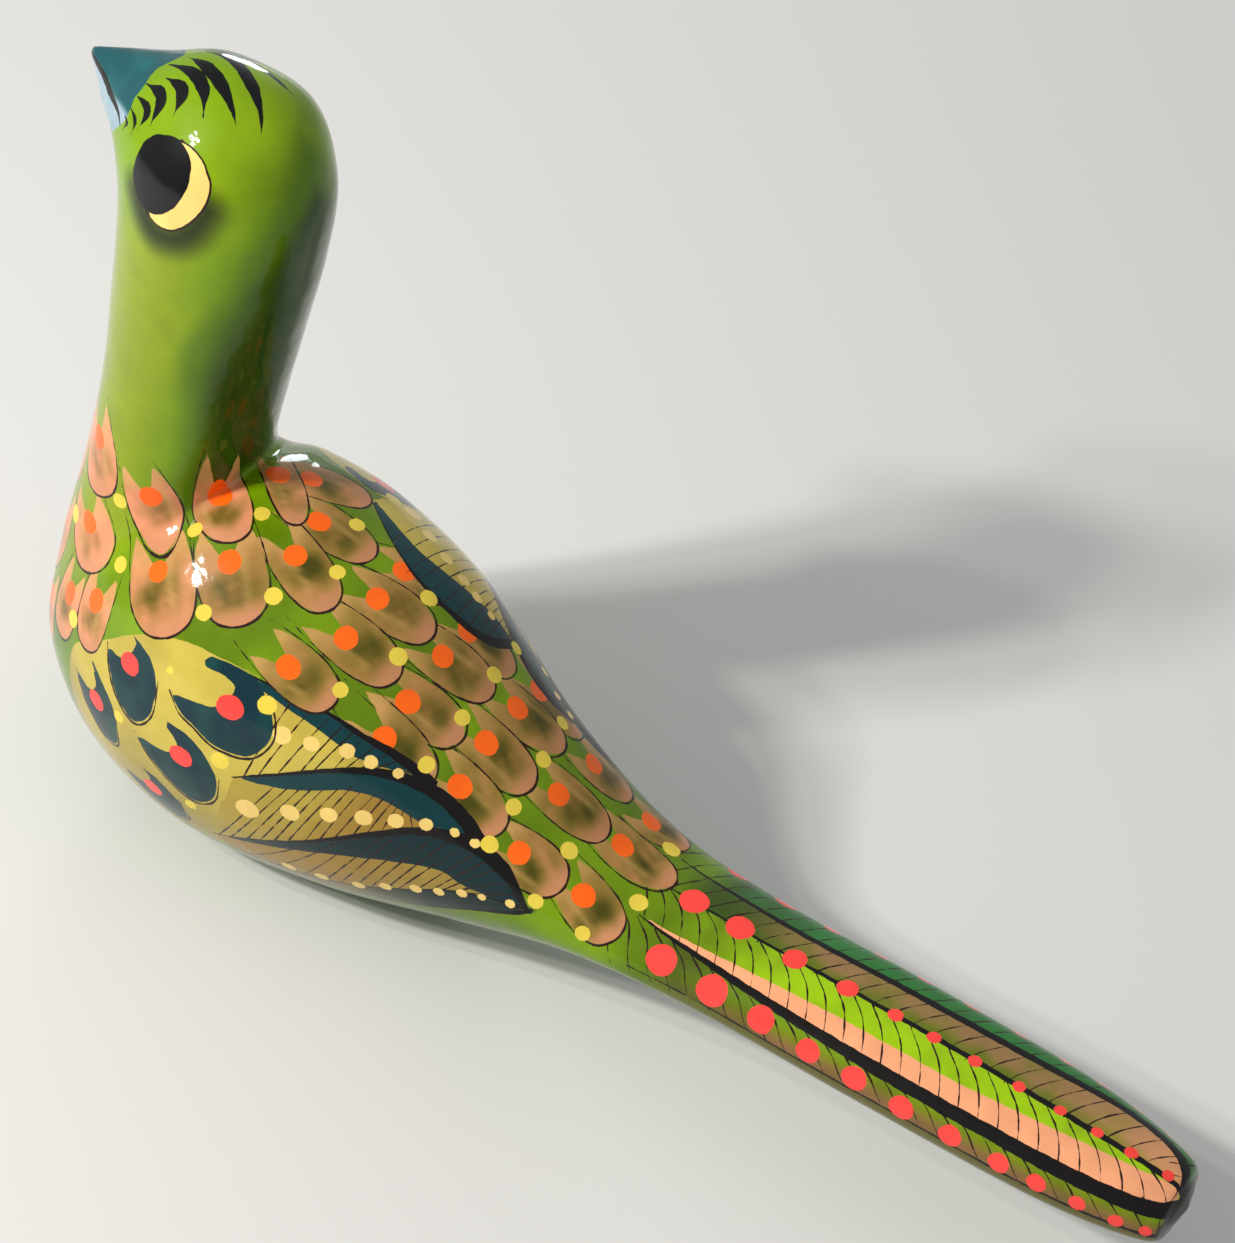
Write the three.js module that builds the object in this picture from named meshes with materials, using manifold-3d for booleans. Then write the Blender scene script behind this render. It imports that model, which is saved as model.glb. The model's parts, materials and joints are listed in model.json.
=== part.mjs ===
// Pottery bird with a long straight tail, moulded in one piece and resting on its flattened belly.
// Millimetres, +Z up. The bird faces -Y, its tail runs to +Y and its left side is +X.
// It is the same left and right of x = 0, and z = 0 is the table that it sits on.

import * as THREE from 'three';
import { mergeVertices } from 'three/addons/utils/BufferGeometryUtils.js';
import Module from 'manifold-3d';

// Driving sizes
const length = 256;      // beak tip to tail tip
const seatDepth = 3.5;   // how much of the round belly the flat seat takes off
const glazeGreen = 0x86a61c;

// How finely the form is faceted
const stepsPerSection = 4;
const sidesAround = 48;

// The free form as shares of the length. Each section spans from a point on the back or crown
// to a point on the belly or throat, both [y, z], with z from the lowest point of the round belly.
// It is an ellipse that wide each side; square under 1 squares it off, as on the flat tail.
const share = length / 256;
const sections = [
  { at: 'tail end', back: [197.5, 34.6], belly: [197.5, 33.4], halfWidth: 0.6, square: 1 },
  { at: 'tail rim', back: [195.9, 38], belly: [196.5, 30], halfWidth: 6, square: 1 },
  { at: 'tail rounding', back: [192, 40], belly: [194, 27.5], halfWidth: 10, square: 0.9 },
  { at: 'tail outer part', back: [172, 41], belly: [174, 26.5], halfWidth: 13.7, square: 0.8 },
  { at: 'tail middle', back: [135, 41], belly: [138, 25], halfWidth: 14.6, square: 0.8 },
  { at: 'tail inner part', back: [101, 40], belly: [104, 24], halfWidth: 15.2, square: 0.9 },
  { at: 'tail root', back: [76, 42], belly: [78, 21.5], halfWidth: 17.8, square: 1 },
  { at: 'rump', back: [49.5, 58], belly: [49, 10], halfWidth: 22.8, square: 1 },
  { at: 'loin', back: [24.5, 75], belly: [19, 2], halfWidth: 32, square: 1 },
  { at: 'middle of the body', back: [2, 82], belly: [-12, 0.3], halfWidth: 37, square: 1 },
  { at: 'wing shoulders', back: [-12.5, 84.5], belly: [-39, 8.5], halfWidth: 34, square: 1 },
  { at: 'breast', back: [-18, 84], belly: [-56, 26.5], halfWidth: 27, square: 1 },
  { at: 'neck root', back: [-17.5, 88], belly: [-57.5, 49], halfWidth: 20.8, square: 1 },
  { at: 'lower neck', back: [-15, 101.5], belly: [-53.3, 74], halfWidth: 18.5, square: 1 },
  { at: 'middle of the neck', back: [-12, 118], belly: [-49.7, 98], halfWidth: 18.4, square: 1 },
  { at: 'throat', back: [-9, 135.5], belly: [-48.3, 120.5], halfWidth: 18.9, square: 1 },
  { at: 'cheeks', back: [-8.5, 152], belly: [-47.5, 138.5], halfWidth: 19.1, square: 1 },
  { at: 'crown', back: [-15, 166.5], belly: [-49, 147], halfWidth: 16.8, square: 1 },
  { at: 'forehead', back: [-31, 171], belly: [-52, 150], halfWidth: 11, square: 1 },
  { at: 'beak root', back: [-44, 166.3], belly: [-55.2, 152.5], halfWidth: 6.4, square: 1 },
  { at: 'beak middle', back: [-52, 163.5], belly: [-57, 155.5], halfWidth: 3.4, square: 1 },
  { at: 'beak tip', back: [-59, 160.8], belly: [-59, 158.8], halfWidth: 0.8, square: 1 },
];

// Curves through the sections: one along the back, one along the belly, one for width and squareness
function curveThrough(pointOf) {
  return new THREE.CatmullRomCurve3(sections.map(pointOf), false, 'catmullrom', 0.5);
}
const height = (z) => z * share - seatDepth;
const backLine = curveThrough((s) => new THREE.Vector3(0, s.back[0] * share, height(s.back[1])));
const bellyLine = curveThrough((s) => new THREE.Vector3(0, s.belly[0] * share, height(s.belly[1])));
const widthLine = curveThrough((s) => new THREE.Vector3(s.halfWidth * share, s.square, 0));

// One ring of points around the form, at t from the tail end (0) to the beak tip (1)
function ringAt(t) {
  const back = backLine.getPoint(t);
  const belly = bellyLine.getPoint(t);
  const { x: halfWidth, y: square } = widthLine.getPoint(t);
  const middle = back.clone().add(belly).multiplyScalar(0.5);
  const rise = back.clone().sub(belly).multiplyScalar(0.5);
  const squared = (value) => Math.sign(value) * Math.abs(value) ** square;
  const ring = [];
  for (let side = 0; side < sidesAround; side++) {
    const angle = (side / sidesAround) * 2 * Math.PI;
    const point = middle.clone().addScaledVector(rise, squared(Math.sin(angle)));
    point.x = halfWidth * squared(Math.cos(angle));
    ring.push(point);
  }
  return { ring, middle };
}

// A closed skin over all the rings, with a fan of triangles over each end
function loftedSkin() {
  const ringCount = (sections.length - 1) * stepsPerSection + 1;
  const points = [];
  const triangles = [];
  let first;
  let last;
  for (let i = 0; i < ringCount; i++) {
    last = ringAt(i / (ringCount - 1));
    first ??= last;
    points.push(...last.ring);
  }
  const tailEnd = points.push(first.middle) - 1;
  const beakTip = points.push(last.middle) - 1;
  for (let side = 0; side < sidesAround; side++) {
    const next = (side + 1) % sidesAround;
    for (let i = 0; i < ringCount - 1; i++) {
      const here = i * sidesAround;
      const there = here + sidesAround;
      triangles.push(here + side, here + next, there + next);
      triangles.push(here + side, there + next, there + side);
    }
    const lastRing = (ringCount - 1) * sidesAround;
    triangles.push(tailEnd, next, side);
    triangles.push(beakTip, lastRing + side, lastRing + next);
  }
  const geometry = new THREE.BufferGeometry().setFromPoints(points);
  geometry.setIndex(triangles);
  return geometry;
}

// Everything below the table, wide enough to take the whole underside off flat
function belowTable() {
  const depth = 2 * (seatDepth + length);
  const block = new THREE.BoxGeometry(2 * length, 4 * length, depth);
  block.translate(0, 0, -depth / 2);
  return block;
}

// Joining and cutting
const wasm = await Module();
wasm.setup();

function toSolid(geometry) {
  const plain = geometry.clone();
  plain.deleteAttribute('normal');
  plain.deleteAttribute('uv');
  const merged = mergeVertices(plain);
  return new wasm.Manifold(new wasm.Mesh({
    numProp: 3,
    vertProperties: new Float32Array(merged.attributes.position.array),
    triVerts: new Uint32Array(merged.index.array),
  }));
}

function toGeometry(solid) {
  const { vertProperties, triVerts } = solid.getMesh();
  const geometry = new THREE.BufferGeometry();
  geometry.setAttribute('position', new THREE.BufferAttribute(vertProperties, 3));
  geometry.setIndex(new THREE.BufferAttribute(triVerts, 1));
  geometry.computeVertexNormals();
  return geometry;
}

// The bird
const birdSolid = toSolid(loftedSkin()).subtract(toSolid(belowTable()));
const glaze = new THREE.MeshStandardMaterial({ color: glazeGreen, roughness: 0.25, metalness: 0 });
const bird = new THREE.Mesh(toGeometry(birdSolid), glaze);
bird.name = 'bird';

const figurine = new THREE.Group();
figurine.add(bird);

export default figurine;
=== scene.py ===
"""Looks of a painted and varnished pottery bird: a fine skin over the moulded form, painted in code.

Every painted mark is a shape on the skin. The mesh stores, for each face, the colour of the ground
and the edges of the marks that cross it, as distances in millimetres, and the material draws the edges.
"""

import json
import math

import bpy
import numpy as np
from mathutils import Matrix, Vector

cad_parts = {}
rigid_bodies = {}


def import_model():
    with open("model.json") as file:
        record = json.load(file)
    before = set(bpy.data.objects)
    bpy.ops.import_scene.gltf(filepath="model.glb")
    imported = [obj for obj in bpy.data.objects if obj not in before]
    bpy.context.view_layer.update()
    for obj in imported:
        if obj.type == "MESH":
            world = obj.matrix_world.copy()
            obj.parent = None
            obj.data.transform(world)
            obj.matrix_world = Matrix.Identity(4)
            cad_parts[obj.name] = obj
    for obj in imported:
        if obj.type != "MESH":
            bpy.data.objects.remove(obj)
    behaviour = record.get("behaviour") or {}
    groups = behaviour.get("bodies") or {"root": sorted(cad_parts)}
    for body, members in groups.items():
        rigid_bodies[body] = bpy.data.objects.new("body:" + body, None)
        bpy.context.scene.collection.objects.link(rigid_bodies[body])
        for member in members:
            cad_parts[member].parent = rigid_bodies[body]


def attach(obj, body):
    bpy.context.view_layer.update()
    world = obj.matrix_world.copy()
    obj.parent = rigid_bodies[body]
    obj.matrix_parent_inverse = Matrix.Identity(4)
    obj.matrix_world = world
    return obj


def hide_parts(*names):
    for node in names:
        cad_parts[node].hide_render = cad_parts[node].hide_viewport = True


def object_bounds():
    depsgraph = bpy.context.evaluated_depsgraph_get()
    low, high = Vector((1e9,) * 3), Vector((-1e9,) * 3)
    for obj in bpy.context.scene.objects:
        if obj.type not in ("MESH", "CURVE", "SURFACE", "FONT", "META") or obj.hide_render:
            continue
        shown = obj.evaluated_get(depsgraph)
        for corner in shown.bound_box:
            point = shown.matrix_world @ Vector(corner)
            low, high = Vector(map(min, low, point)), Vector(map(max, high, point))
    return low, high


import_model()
cad_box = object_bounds()

MM = 0.001
rng = np.random.default_rng(7)

# Colours, as sRGB levels out of 255
GREEN = (118, 154, 4)
LIGHT_GREEN = (136, 164, 10)
BODY_GREEN = (94, 124, 2)
DEEP_GREEN = (34, 62, 6)
SHADE_GREEN = (76, 112, 6)
THROAT_GREEN = (136, 148, 6)
TAIL_GREEN = (160, 204, 8)
SALMON = (228, 148, 108)
OLIVE = (72, 68, 8)
ORANGE = (255, 104, 18)
YELLOW = (228, 204, 74)
KHAKI = (198, 178, 76)
OCHRE = (160, 124, 46)
TEAL = (8, 46, 56)
BAND_TEAL = (6, 56, 62)
LOW_BAND_TEAL = (2, 40, 46)
BEAK_TEAL = (24, 82, 88)
BEAK_LIGHT = (50, 130, 138)
CORAL = (255, 72, 66)
CREAM = (240, 206, 118)
PINK = (250, 172, 126)
TAN = (150, 118, 74)
BLACK = (14, 10, 10)
CHIP_BROWN = (90, 70, 40)
FLOOR_GREY = (226, 226, 224)
INK = (40, 20, 14)
EYE_BLACK = (10, 12, 14)
PALE_BLUE = (150, 172, 186)


def linear(colour):
    """An sRGB colour as the linear numbers that the shader works in."""
    level = np.asarray(colour, float) / 255
    return np.where(level <= 0.04045, level / 12.92, ((level + 0.055) / 1.055) ** 2.4)


# The moulded form, in millimetres: back or crown point, belly or throat point, half width, squareness
SEAT_DEPTH = 3.5
SECTIONS = np.array([
    (197.5, 34.6, 197.5, 33.4, 0.6, 1),
    (195.9, 38, 196.5, 30, 6, 1),
    (192, 40, 194, 27.5, 10, 0.9),
    (172, 41, 174, 26.5, 13.7, 0.8),
    (135, 41, 138, 25, 14.6, 0.8),
    (101, 40, 104, 24, 15.2, 0.9),
    (76, 42, 78, 21.5, 17.8, 1),
    (49.5, 58, 49, 10, 22.8, 1),
    (24.5, 75, 19, 2, 32, 1),
    (2, 82, -12, 0.3, 37, 1),
    (-12.5, 84.5, -39, 8.5, 34, 1),
    (-18, 84, -56, 26.5, 27, 1),
    (-17.5, 88, -57.5, 49, 20.8, 1),
    (-15, 101.5, -53.3, 74, 18.5, 1),
    (-12, 118, -49.7, 98, 18.4, 1),
    (-9, 135.5, -48.3, 120.5, 18.9, 1),
    (-8.5, 152, -47.5, 138.5, 19.1, 1),
    (-15, 166.5, -49, 147, 16.8, 1),
    (-31, 171, -52, 150, 11, 1),
    (-44, 166.3, -55.2, 152.5, 6.4, 1),
    (-52, 163.5, -57, 155.5, 3.4, 1),
    (-59, 160.8, -59, 158.8, 0.8, 1),
], float)
LAST_STATION = len(SECTIONS) - 1
ROWS_ALONG = 430
SIDES_AROUND = 220


def lengthened(rows):
    """The rows with one more at each end, straight on from the last two."""
    return np.vstack([2 * rows[0] - rows[1], rows, 2 * rows[-1] - rows[-2]])


def smooth_step(a, b, c, d, t):
    """The smooth curve from b (t = 0) to c (t = 1), where a comes before and d after."""
    bend = (2 * a - 5 * b + 4 * c - d) * t ** 2 + (3 * b - a - 3 * c + d) * t ** 3
    return (2 * b + (c - a) * t + bend) / 2


def section_at(station):
    """The sections' numbers at any station, by the same smooth curve through them as the solid has."""
    rows = lengthened(SECTIONS)
    station = np.clip(np.asarray(station, float), 0, LAST_STATION - 1e-9)
    i = np.floor(station).astype(int)
    return smooth_step(rows[i], rows[i + 1], rows[i + 2], rows[i + 3], (station - i)[..., None])


def skin_at(station, angle):
    """Points on the form: station from tail (0) to beak, angle in degrees from the back to the left."""
    s = section_at(station)
    turn = np.radians(np.asarray(angle, float))
    square = s[..., 5]
    out = np.sign(np.sin(turn)) * np.abs(np.sin(turn)) ** square
    up = np.sign(np.cos(turn)) * np.abs(np.cos(turn)) ** square
    x = s[..., 4] * out
    y = (s[..., 0] + s[..., 2]) / 2 + (s[..., 0] - s[..., 2]) / 2 * up
    z = (s[..., 1] + s[..., 3]) / 2 + (s[..., 1] - s[..., 3]) / 2 * up - SEAT_DEPTH
    return np.stack([x, y, z], -1)


SHORT_STEP = 0.01    # a short step along the form, in stations


def evenly_spaced_stations(count):
    """Stations about the same distance apart along the skin, whatever the sections' own spacing."""
    fine = np.linspace(0, LAST_STATION, 40 * LAST_STATION + 1)
    sides = skin_at(fine[:, None], np.arange(0, 360, 45)[None, :])
    steps = np.linalg.norm(np.diff(sides, axis=0), axis=2).mean(1)
    way = np.concatenate([[0], np.cumsum(steps)])
    return np.interp(np.linspace(0, way[-1], count), way, fine)


class Skin:
    """The fine grid of points over the form, with its normals and its four-sided faces."""

    def __init__(self):
        self.stations = evenly_spaced_stations(ROWS_ALONG)
        self.angles = np.arange(SIDES_AROUND) * 360 / SIDES_AROUND - 180
        u, a = np.meshgrid(self.stations, self.angles, indexing="ij")
        grid = skin_at(u, a)
        around = np.roll(grid, -1, 1) - np.roll(grid, 1, 1)
        along = np.gradient(grid, axis=0)
        normal = np.cross(around, along).reshape(-1, 3)
        self.normals = normal / np.maximum(np.linalg.norm(normal, axis=1), 1e-9)[:, None]
        self.points = grid.reshape(-1, 3)
        self.station = u.ravel()
        self.angle = a.ravel()
        row, side = np.meshgrid(np.arange(ROWS_ALONG - 1), np.arange(SIDES_AROUND), indexing="ij")
        here = (row * SIDES_AROUND + side).ravel()
        beside = (row * SIDES_AROUND + (side + 1) % SIDES_AROUND).ravel()
        self.quads = np.stack([here, beside, beside + SIDES_AROUND, here + SIDES_AROUND], 1)

    def near(self, centre, reach):
        """The points within reach of a centre."""
        return np.nonzero(((self.points - centre) ** 2).sum(1) < reach ** 2)[0]

    def around_line(self, line, margin):
        """The points in the box round a line, with a margin."""
        low, high = line.min(0) - margin, line.max(0) + margin
        return np.nonzero(((self.points > low) & (self.points < high)).all(1))[0]


skin = Skin()


def millimetres_per_station():
    """How long a station is on the skin, at each of its points."""
    ahead = skin_at(skin.station + SHORT_STEP, skin.angle)
    return np.linalg.norm(ahead - skin.points, axis=1) / SHORT_STEP


class Coat:
    """The painted coat: the ground colour at each face's corners, and the marks whose edges cross it."""
    SLOTS = 4
    CLEAR = 9.0     # an edge distance that keeps a mark off a corner
    SOFT = 0.25     # how near an edge still counts as crossing a face, in millimetres

    def __init__(self, quads):
        self.quads = quads
        n = len(quads)
        self.ground = np.zeros((n, 4, 3))
        self.used = np.zeros(n, int)
        self.colour = np.zeros((self.SLOTS, n, 4, 3))
        self.edge = np.full((self.SLOTS, n, 4, 2), self.CLEAR)

    def lay(self, ids, first, second, colour):
        """Paint where both edge distances, given at the points ids, are below zero."""
        place = np.full(len(skin.points), -1)
        place[ids] = np.arange(len(ids))
        corner = place[self.quads]
        faces = np.nonzero((corner >= 0).all(1))[0]
        corner = corner[faces]
        edge = np.stack([first[corner], second[corner]], -1)
        crossed = (edge.min(1) < self.SOFT).all(1)
        faces, corner, edge = faces[crossed], corner[crossed], edge[crossed]
        tint = linear(colour)
        tint = tint[corner] if tint.ndim == 2 else np.broadcast_to(tint, corner.shape + (3,))
        whole = (edge.max(1) < -self.SOFT).all(1)
        self.ground[faces[whole]] = tint[whole]
        self.used[faces[whole]] = 0
        self.edge[:, faces[whole]] = self.CLEAR
        self.stack(faces[~whole], edge[~whole], tint[~whole])

    def fill(self, ids, edge, colour):
        """Paint where one edge distance is below zero."""
        self.lay(ids, edge, np.full(len(ids), -self.CLEAR), colour)

    def draw(self, ids, side, half, beyond, colour):
        """Paint a line that is half wide on each side, except at the points beyond its ends."""
        side = np.where(beyond, self.CLEAR, side)
        self.lay(ids, side - half, np.where(beyond, self.CLEAR, -side - half), colour)

    def stack(self, faces, edge, tint):
        """Put a mark on top of the others on its faces, and sink the lowest where all are taken."""
        full = faces[self.used[faces] == self.SLOTS]
        cover = np.clip(0.5 - self.edge[0, full].max(-1), 0, 1)[..., None]
        self.ground[full] += (self.colour[0, full] - self.ground[full]) * cover
        for slot in range(self.SLOTS - 1):
            self.edge[slot, full] = self.edge[slot + 1, full]
            self.colour[slot, full] = self.colour[slot + 1, full]
        self.used[full] -= 1
        self.edge[self.used[faces], faces] = edge
        self.colour[self.used[faces], faces] = tint
        self.used[faces] += 1


coat = Coat(skin.quads)


# Lines and outlines. A place on the skin is a (station, angle) row, as skin_at takes it

def smooth_line(controls, per_step=8):
    """A smooth line through control rows, by the same curve as the form."""
    rows = lengthened(np.asarray(controls, float))
    a, b, c, d = (rows[k:len(rows) - 3 + k, None] for k in range(4))
    t = (np.arange(per_step) / per_step)[None, :, None]
    line = smooth_step(a, b, c, d, t)
    return np.vstack([line.reshape(-1, rows.shape[1]), rows[-2:-1]])


def on_skin(line):
    """A line of (station, angle) rows as points on the skin."""
    return skin_at(line[:, 0], line[:, 1])


def nearest(points, line):
    """Each point's gap to the nearest stretch of a line, that stretch's run, and the place along."""
    start, run = line[:-1], np.diff(line, axis=0)
    squared = np.maximum((run ** 2).sum(1), 1e-12)
    gaps, runs, places = [], [], []
    for part in np.array_split(points, max(1, len(points) * len(run) // 400000)):
        away = part[:, None] - start
        t = np.clip((away * run).sum(-1) / squared, 0, 1)
        gap = away - t[..., None] * run
        k = (gap ** 2).sum(-1).argmin(1)
        here = np.arange(len(part))
        gaps.append(gap[here, k])
        runs.append(run[k])
        places.append(k + t[here, k])
    return np.concatenate(gaps), np.concatenate(runs), np.concatenate(places)


def inside(points, outline):
    """Which flat points lie inside a closed flat outline."""
    x, y = points[:, :1], points[:, 1:]
    ax, ay = outline[:, 0], outline[:, 1]
    bx, by = np.roll(ax, -1), np.roll(ay, -1)
    spans = (ay > y) != (by > y)
    climb = np.where(by == ay, 1e-12, by - ay)
    left_of = x < (bx - ax) * (y - ay) / climb + ax
    return (spans & left_of).sum(1) % 2 == 1


# Painting on the skin

STROKE_MARGIN = 2.5    # how far round a stroke its edge distances reach, in millimetres
STROKE_END = 1.2       # how far past its last point a stroke still runs out


def stroke(controls, half_widths, colour, per_step=8):
    """A brush stroke along (station, angle) controls, as wide each side as half_widths says in turn."""
    line = on_skin(smooth_line(controls, per_step))
    ids = skin.around_line(line, max(half_widths) + STROKE_MARGIN)
    gap, run, place = nearest(skin.points[ids], line)
    across = np.cross(skin.normals[ids], run)
    across /= np.maximum(np.linalg.norm(across, axis=1), 1e-9)[:, None]
    side = (gap * across).sum(1)
    beyond = np.linalg.norm(gap - side[:, None] * across, axis=1) > STROKE_END
    last = len(line) - 1
    half = np.interp(place / last, np.linspace(0, 1, len(half_widths)), half_widths)
    coat.draw(ids, side, half, beyond, colour)


PATCH_BULGE = 14    # how far the skin inside an outline may swell past the outline's own box


def patch(outline, colour):
    """A filled area inside a closed line of (station, angle) rows. The colour may be a function."""
    outline = np.asarray(outline, float)
    line = on_skin(np.vstack([outline, outline[:1]]))
    ids = skin.around_line(line, PATCH_BULGE)
    gap, _, _ = nearest(skin.points[ids], line)
    where = np.stack([skin.station[ids], skin.angle[ids]], 1)
    distance = np.linalg.norm(gap, axis=1)
    edge = np.where(inside(where, outline), -distance, distance)
    coat.fill(ids, edge, colour(ids) if callable(colour) else colour)


class Stamp:
    """A flat drawing board on the skin at (station, angle), turned so that its second axis runs aft."""

    def __init__(self, station, angle, reach, turn=0):
        step = 2 * SHORT_STEP
        self.centre = skin_at(station, angle)
        aft = skin_at(station - step, angle) - skin_at(station + step, angle)
        left = skin_at(station, angle + 1) - skin_at(station, angle - 1)
        normal = np.cross(left, -aft)
        normal /= np.linalg.norm(normal)
        aft /= np.linalg.norm(aft)
        side = np.cross(aft, normal)
        c, s = math.cos(math.radians(turn)), math.sin(math.radians(turn))
        self.side = side * c + aft * s
        self.aft = aft * c - side * s
        ids = skin.near(self.centre, reach)
        self.ids = ids[skin.normals[ids] @ normal > 0.25]
        away = skin.points[self.ids] - self.centre
        self.flat = np.stack([away @ self.side, away @ self.aft], 1)

    def fill(self, outline, colour):
        """Fill a closed outline on the board."""
        gap, _, _ = nearest(self.flat, np.vstack([outline, outline[:1]]))
        distance = np.linalg.norm(gap, axis=1)
        edge = np.where(inside(self.flat, outline), -distance, distance)
        coat.fill(self.ids, edge, colour)

    def line(self, points, half_widths, colour):
        """Draw a line on the board, as wide each side as half_widths says in turn."""
        gap, run, place = nearest(self.flat, points)
        across = np.stack([-run[:, 1], run[:, 0]], 1)
        across /= np.linalg.norm(across, axis=1)[:, None]
        side = (gap * across).sum(1)
        beyond = (np.linalg.norm(gap, axis=1) - np.abs(side)) > 0.3
        spread = np.linspace(0, 1, len(half_widths))
        half = np.interp(place / (len(points) - 1), spread, half_widths)
        coat.draw(self.ids, side, half, beyond, colour)

    def disc(self, radius, colour, at=(0, 0), stretch=1):
        """A round dab, stretched along the aft axis."""
        away = (self.flat - at) / np.array([1, stretch])
        edge = np.linalg.norm(away, axis=1) - radius
        coat.fill(self.ids, edge, colour)


def dot(station, angle, radius, colour, stretch=1):
    Stamp(station, angle, radius + 3).disc(radius, colour, stretch=stretch)


def mirrored(rows):
    """The same (station, angle) rows on the bird's other side."""
    return [(station, -angle) for station, angle in rows]


def mixed(first, second, weight):
    """Colours between two, by a weight at each point."""
    weight = np.clip(weight, 0, 1)[:, None]
    return np.asarray(first, float) * (1 - weight) + np.asarray(second, float) * weight


def rise(value, low, high):
    """A smooth rise from 0 at low to 1 at high."""
    t = np.clip((value - low) / (high - low), 0, 1)
    return t * t * (3 - 2 * t)


class Cloud:
    """Slow soft blotches between about -1 and 1, a few crossed waves through space."""

    def __init__(self, size, waves=14):
        ways = rng.normal(size=(waves, 3))
        ways /= np.linalg.norm(ways, axis=1)[:, None]
        self.ways = ways * 2 * np.pi / (size * rng.uniform(0.6, 1.8, waves)[:, None])
        self.starts = rng.uniform(0, 2 * np.pi, waves)

    def at(self, points):
        return np.sin(points @ self.ways.T + self.starts).sum(1) * (2 / len(self.starts)) ** 0.5


# The three sizes of unevenness in the paint, in millimetres
airbrush = Cloud(22)
brushwork = Cloud(7)
smears = Cloud(3.2)


# Ground: brushed green; darker spray under the eyes; spray and painted shade down the nape; painted shade
# under the body

# The half angles that the two darker layers of the nape reach at each station, and the line below an eye
NAPE_SHADE = [(11, 50), (12.8, 54), (13.8, 64), (14.5, 64), (15.3, 48), (16, 32), (16.6, 8),
              (17.2, -25), (21, -60)]
NAPE_DEPTH = [(11, 40), (12.6, 35), (13.6, 44), (14.4, 38), (15.2, 38), (15.8, 16), (16.2, -4),
              (17, -40), (21, -60)]
UNDER_EYE = [(16.6, 106), (16.3, 102), (16.1, 96), (16.02, 88), (16.02, 79), (16.15, 70), (16.35, 63)]
EYE_SHADE = (30, 40, 6)


def nape_shading(colour, across, blotch):
    """The darker nape in a wide soft coat and a deeper one inside it, partly airbrushed, partly painted
    shade.
    """
    on_neck = rise(skin.station, 11.0, 12.2)
    # Partly painted shade: the back of the neck is darkened where it lies in shadow, besides its airbrushed
    # green.
    for line, tint, strength in ((NAPE_SHADE, SHADE_GREEN, 0.75), (NAPE_DEPTH, DEEP_GREEN, 0.85)):
        reach = np.interp(skin.station, *zip(*line))
        colour = mixed(colour, tint, strength * on_neck * rise(reach - across + 3 * blotch, -14, 12))
    return colour


def eye_shading(colour):
    """A dark spray that hugs each eye from below."""
    ids = np.nonzero(np.abs(skin.station - 16.2) < 1.2)[0]
    folded = skin.points[ids].copy()
    folded[:, 0] *= np.where(skin.angle[ids] < 0, -1, 1)
    gap, _, _ = nearest(folded, on_skin(smooth_line(UNDER_EYE)))
    shade = np.zeros(len(colour))
    shade[ids] = rise(-np.linalg.norm(gap, axis=1), -6.2, 0.5)
    return mixed(colour, EYE_SHADE, 0.95 * shade)


def ground_colours():
    """The green at each point of the skin before any feather or scale is painted."""
    across = np.abs(skin.angle)
    blotch = airbrush.at(skin.points)
    colour = mixed(GREEN, LIGHT_GREEN, 0.35 + 0.3 * blotch)
    colour = mixed(mixed(BODY_GREEN, GREEN, 0.3 + 0.4 * blotch), colour, rise(skin.station, 10.6, 12.6))
    throat = rise(across, 58, 92) * rise(skin.station, 11.0, 12.2) * (1 - rise(skin.station, 15.4, 16.8))
    colour = mixed(colour, THROAT_GREEN, 0.7 * throat)
    colour = nape_shading(colour, across, blotch)
    colour = eye_shading(colour)
    # Painted shade: the lower flanks and underside of the body and tail darken towards the table.
    belly = rise(across, 85, 140) * (1 - rise(skin.station, 10, 12))
    return mixed(colour, DEEP_GREEN, 0.4 * belly)


green_ground = ground_colours()


def paint_ground():
    coat.ground[:] = linear(green_ground)[coat.quads]


# Tail: one long central feather, bright green with a pink stripe, between two side feathers

TAIL_ROOT_Y, TAIL_TIP_Y = 77, 192
BARB_SPACING = 4.1
SHAFT = [(5.7, 3), (4.3, 2), (3.3, 2), (1.9, 5), (1.1, 12)]
NEAR_EDGE = [(5.65, 34), (5.0, 42), (4.41, 49), (3.85, 53), (3.2, 52), (2.6, 52), (2.17, 51),
             (1.67, 46), (0.6, 38)]
FAR_EDGE = [(5.7, -24), (5.06, -21), (4.36, -19), (3.7, -21), (3.24, -25), (2.75, -34), (2.43, -36),
            (2.11, -32), (1.7, -17), (1.19, -4), (0.6, 12)]
PINK_EDGE = [(5.64, 33), (5.37, 33), (5.08, 32), (4.82, 30), (4.57, 28), (4.23, 26), (3.88, 25), (3.57, 24),
             (3.29, 20), (2.83, 15), (2.17, 11), (1.6, 8)]
SIDE_EDGE = [(5.58, 84), (5.0, 87), (4.6, 90), (3.99, 91), (3.44, 91), (2.81, 91), (2.0, 92), (1.4, 96)]
SHAFT_DOTS = [(5.39, 2.9), (5.0, 2.8), (4.62, 2.4), (4.29, 2.1), (4.0, 1.5), (3.78, 1.4), (3.56, 1.4),
              (3.32, 1.3), (3.07, 1.2), (2.79, 1.2), (2.47, 1.3), (1.98, 1.2)]
SIDE_DOTS = [(5.35, 60, 3.0), (4.94, 65, 3.1), (4.61, 68, 2.7), (4.31, 75, 2.4), (4.03, 78, 2.5),
             (3.76, 82, 2.5), (3.5, 83, 2.3), (3.23, 83, 2.1), (2.99, 83, 1.9), (2.68, 84, 1.6),
             (2.32, 86, 1.4), (1.92, 86, 1.2)]
FAR_DOT_ANGLE = -63
TAIL_UNDER_ANGLE = 150

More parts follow.
